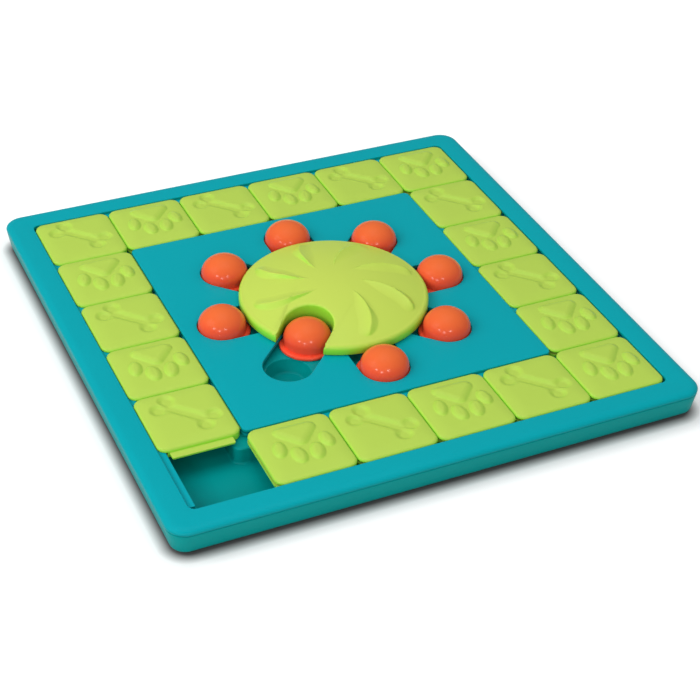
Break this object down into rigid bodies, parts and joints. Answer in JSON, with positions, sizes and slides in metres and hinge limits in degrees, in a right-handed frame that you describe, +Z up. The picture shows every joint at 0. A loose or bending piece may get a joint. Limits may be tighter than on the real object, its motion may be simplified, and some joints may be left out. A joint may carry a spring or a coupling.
{
  "type": "dog puzzle feeder",
  "caption": "Square dog puzzle feeder: sliding paw and bone tiles over a food trough, and knobs that slide in over treat cups past a notched turning wheel.",
  "frame": {"origin": "on the ground, under the middle of the tray", "axes": "+X to the right along the front edge, +Y away from the front edge, +Z up; the empty tile place is the front left one"},
  "size_m": [0.333, 0.333, 0.035],
  "materials": {
    "deep_teal": "satin",
    "teal": "satin",
    "lime": "satin",
    "lime_wheel": "satin",
    "orange": "satin",
    "rubber": "matte",
    "steel": "bright"
  },
  "bodies": {
    "board": {"base_tray": "deep_teal", "top_frame": "teal", "centre_deck": "teal", "foot_front_left": "rubber", "foot_front_right": "rubber", "foot_back_left": "rubber", "foot_back_right": "rubber", "frame_screw_1": "steel", "frame_screw_2": "steel", "frame_screw_3": "steel", "frame_screw_4": "steel", "frame_screw_5": "steel", "frame_screw_6": "steel", "frame_screw_7": "steel", "frame_screw_8": "steel", "deck_screw_1": "steel", "deck_screw_2": "steel", "deck_screw_3": "steel", "deck_screw_4": "steel"},
    "wheel": {"swirl_wheel": "lime_wheel", "wheel_retainer": "steel", "wheel_screw": "steel"},
    "knob_right": {"knob_right": "orange"},
    "knob_back_right": {"knob_back_right": "orange"},
    "knob_back": {"knob_back": "orange"},
    "knob_back_left": {"knob_back_left": "orange"},
    "knob_left": {"knob_left": "orange"},
    "knob_front_left": {"knob_front_left": "orange"},
    "knob_front": {"knob_front": "orange"},
    "knob_front_right": {"knob_front_right": "orange"},
    "tile_left_1": {"tile_left_1": "lime"},
    "tile_left_2": {"tile_left_2": "lime"},
    "tile_left_3": {"tile_left_3": "lime"},
    "tile_left_4": {"tile_left_4": "lime"},
    "tile_left_5": {"tile_left_5": "lime"},
    "tile_back_1": {"tile_back_1": "lime"},
    "tile_back_2": {"tile_back_2": "lime"},
    "tile_back_3": {"tile_back_3": "lime"},
    "tile_back_4": {"tile_back_4": "lime"},
    "tile_back_5": {"tile_back_5": "lime"},
    "tile_right_1": {"tile_right_1": "lime"},
    "tile_right_2": {"tile_right_2": "lime"},
    "tile_right_3": {"tile_right_3": "lime"},
    "tile_right_4": {"tile_right_4": "lime"},
    "tile_front_1": {"tile_front_1": "lime"},
    "tile_front_2": {"tile_front_2": "lime"},
    "tile_front_3": {"tile_front_3": "lime"},
    "tile_front_4": {"tile_front_4": "lime"},
    "tile_front_5": {"tile_front_5": "lime"}
  },
  "joints": [
    {"name": "wheel_turn", "type": "hinge", "parent": "board", "child": "wheel", "pos_m": [0, 0, 0.0193], "axis": [0, 0, 1], "range_deg": [-0.7, 0.7]},
    {"name": "knob_front_left_slide", "type": "slide", "parent": "board", "child": "knob_front_left", "axis": [-0.7071, -0.7071, 0], "range_m": [0, 0.03]},
    {"name": "knob_right_play", "type": "slide", "parent": "board", "child": "knob_right", "axis": [1, 0, 0], "range_m": [-0.0002, 0.0005]},
    {"name": "knob_back_right_play", "type": "slide", "parent": "board", "child": "knob_back_right", "axis": [0.7071, 0.7071, 0], "range_m": [-0.0002, 0.0005]},
    {"name": "knob_back_play", "type": "slide", "parent": "board", "child": "knob_back", "axis": [0, 1, 0], "range_m": [-0.0002, 0.0005]},
    {"name": "knob_back_left_play", "type": "slide", "parent": "board", "child": "knob_back_left", "axis": [-0.7071, 0.7071, 0], "range_m": [-0.0002, 0.0005]},
    {"name": "knob_left_play", "type": "slide", "parent": "board", "child": "knob_left", "axis": [-1, 0, 0], "range_m": [-0.0002, 0.0005]},
    {"name": "knob_front_play", "type": "slide", "parent": "board", "child": "knob_front", "axis": [0, -1, 0], "range_m": [-0.0002, 0.0005]},
    {"name": "knob_front_right_play", "type": "slide", "parent": "board", "child": "knob_front_right", "axis": [0.7071, -0.7071, 0], "range_m": [-0.0002, 0.0005]},
    {"name": "left_column_slide", "type": "slide", "parent": "board", "child": "tile_left_1", "axis": [0, -1, 0], "range_m": [0, 0.05]},
    {"name": "tile_left_2_slide", "type": "slide", "parent": "board", "child": "tile_left_2", "axis": [0, -1, 0], "range_m": [0, 0.05]},
    {"name": "tile_left_3_slide", "type": "slide", "parent": "board", "child": "tile_left_3", "axis": [0, -1, 0], "range_m": [0, 0.05]},
    {"name": "tile_left_4_slide", "type": "slide", "parent": "board", "child": "tile_left_4", "axis": [0, -1, 0], "range_m": [0, 0.05]},
    {"name": "tile_left_5_slide", "type": "slide", "parent": "board", "child": "tile_left_5", "axis": [0, -1, 0], "range_m": [0, 0.05]},
    {"name": "front_row_slide", "type": "slide", "parent": "board", "child": "tile_front_1", "axis": [1, 0, 0], "range_m": [-0.05, 0]},
    {"name": "tile_front_2_slide", "type": "slide", "parent": "board", "child": "tile_front_2", "axis": [1, 0, 0], "range_m": [-0.05, 0]},
    {"name": "tile_front_3_slide", "type": "slide", "parent": "board", "child": "tile_front_3", "axis": [1, 0, 0], "range_m": [-0.05, 0]},
    {"name": "tile_front_4_slide", "type": "slide", "parent": "board", "child": "tile_front_4", "axis": [1, 0, 0], "range_m": [-0.05, 0]},
    {"name": "tile_front_5_slide", "type": "slide", "parent": "board", "child": "tile_front_5", "axis": [1, 0, 0], "range_m": [-0.05, 0]},
    {"name": "back_row_play", "type": "slide", "parent": "board", "child": "tile_back_1", "axis": [1, 0, 0], "range_m": [-0.0003, 0.0003]},
    {"name": "tile_back_2_play", "type": "slide", "parent": "board", "child": "tile_back_2", "axis": [1, 0, 0], "range_m": [-0.0003, 0.0003]},
    {"name": "tile_back_3_play", "type": "slide", "parent": "board", "child": "tile_back_3", "axis": [1, 0, 0], "range_m": [-0.0003, 0.0003]},
    {"name": "tile_back_4_play", "type": "slide", "parent": "board", "child": "tile_back_4", "axis": [1, 0, 0], "range_m": [-0.0003, 0.0003]},
    {"name": "tile_back_5_play", "type": "slide", "parent": "board", "child": "tile_back_5", "axis": [1, 0, 0], "range_m": [-0.0003, 0.0003]},
    {"name": "right_column_play", "type": "slide", "parent": "board", "child": "tile_right_1", "axis": [0, 1, 0], "range_m": [-0.0003, 0.0003]},
    {"name": "tile_right_2_play", "type": "slide", "parent": "board", "child": "tile_right_2", "axis": [0, 1, 0], "range_m": [-0.0003, 0.0003]},
    {"name": "tile_right_3_play", "type": "slide", "parent": "board", "child": "tile_right_3", "axis": [0, 1, 0], "range_m": [-0.0003, 0.0003]},
    {"name": "tile_right_4_play", "type": "slide", "parent": "board", "child": "tile_right_4", "axis": [0, 1, 0], "range_m": [-0.0003, 0.0003]}
  ],
  "couplings": [
    {"joint": "tile_left_2_slide", "follows": "left_column_slide", "ratio": 1},
    {"joint": "tile_left_3_slide", "follows": "left_column_slide", "ratio": 1},
    {"joint": "tile_left_4_slide", "follows": "left_column_slide", "ratio": 1},
    {"joint": "tile_left_5_slide", "follows": "left_column_slide", "ratio": 1},
    {"joint": "tile_front_2_slide", "follows": "front_row_slide", "ratio": 1},
    {"joint": "tile_front_3_slide", "follows": "front_row_slide", "ratio": 1},
    {"joint": "tile_front_4_slide", "follows": "front_row_slide", "ratio": 1},
    {"joint": "tile_front_5_slide", "follows": "front_row_slide", "ratio": 1},
    {"joint": "tile_back_2_play", "follows": "back_row_play", "ratio": 1},
    {"joint": "tile_back_3_play", "follows": "back_row_play", "ratio": 1},
    {"joint": "tile_back_4_play", "follows": "back_row_play", "ratio": 1},
    {"joint": "tile_back_5_play", "follows": "back_row_play", "ratio": 1},
    {"joint": "tile_right_2_play", "follows": "right_column_play", "ratio": 1},
    {"joint": "tile_right_3_play", "follows": "right_column_play", "ratio": 1},
    {"joint": "tile_right_4_play", "follows": "right_column_play", "ratio": 1}
  ]
}
